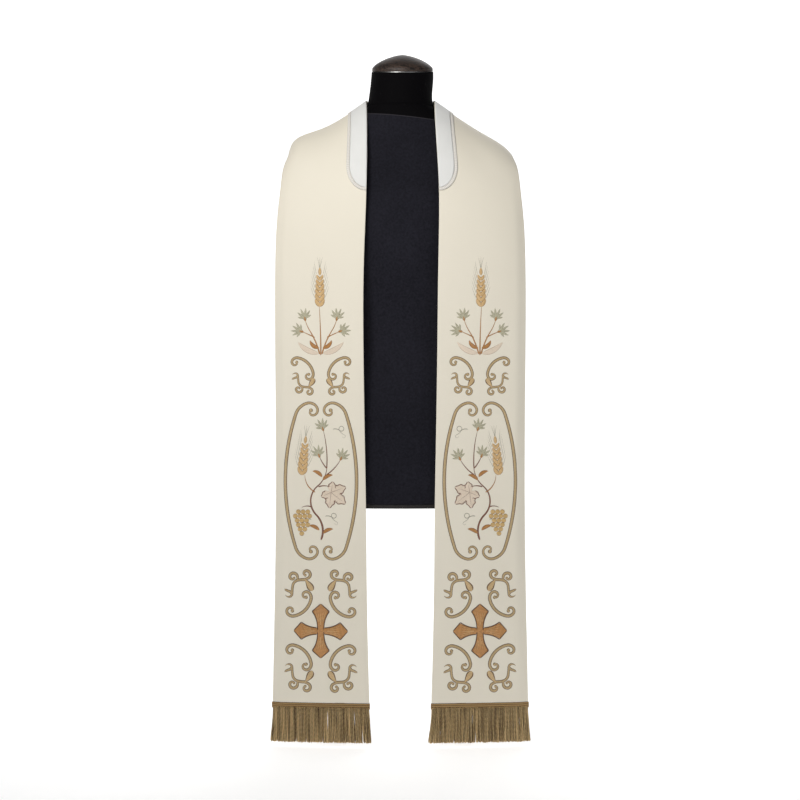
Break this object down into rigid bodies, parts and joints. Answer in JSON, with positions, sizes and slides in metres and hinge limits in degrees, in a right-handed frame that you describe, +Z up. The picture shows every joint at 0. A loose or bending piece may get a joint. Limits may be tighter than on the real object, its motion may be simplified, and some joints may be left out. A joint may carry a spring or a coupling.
{
  "type": "clerical stole on a dress form",
  "caption": "Wide ivory embroidered stole with fringed ends hanging in two straight bands from the shoulders of a limbless black dress form on two plain uprights.",
  "frame": {"origin": "on the floor below the middle of the whole object", "axes": "+Z up, the front of the stole faces -Y, +X to the right as the front is looked at"},
  "size_m": [0.478, 0.2579, 1.2977],
  "materials": {
    "damask": "satin",
    "guard_cotton": "matte",
    "edging_lace": "matte",
    "heading_braid": "satin",
    "bullion": "metallic thread",
    "form_jersey": "matte",
    "neck_jersey": "matte",
    "ring_metal": "satin",
    "cap_wood": "satin",
    "stand_wood": "painted black",
    "stand_steel": "painted black"
  },
  "bodies": {
    "root": {"stole_band_left": "damask", "stole_band_right": "damask", "neck_guard": "guard_cotton", "neck_guard_edging": "edging_lace", "fringe_heading_left": "heading_braid", "fringe_heading_right": "heading_braid", "fringe_left": "bullion", "fringe_right": "bullion", "form_torso": "form_jersey", "form_neck": "neck_jersey", "form_cap_ring": "ring_metal", "form_cap": "cap_wood", "form_base_board": "stand_wood", "stand_upright_left": "stand_steel", "stand_upright_right": "stand_steel", "stand_runner_left": "stand_wood", "stand_runner_right": "stand_wood"}
  },
  "joints": []
}
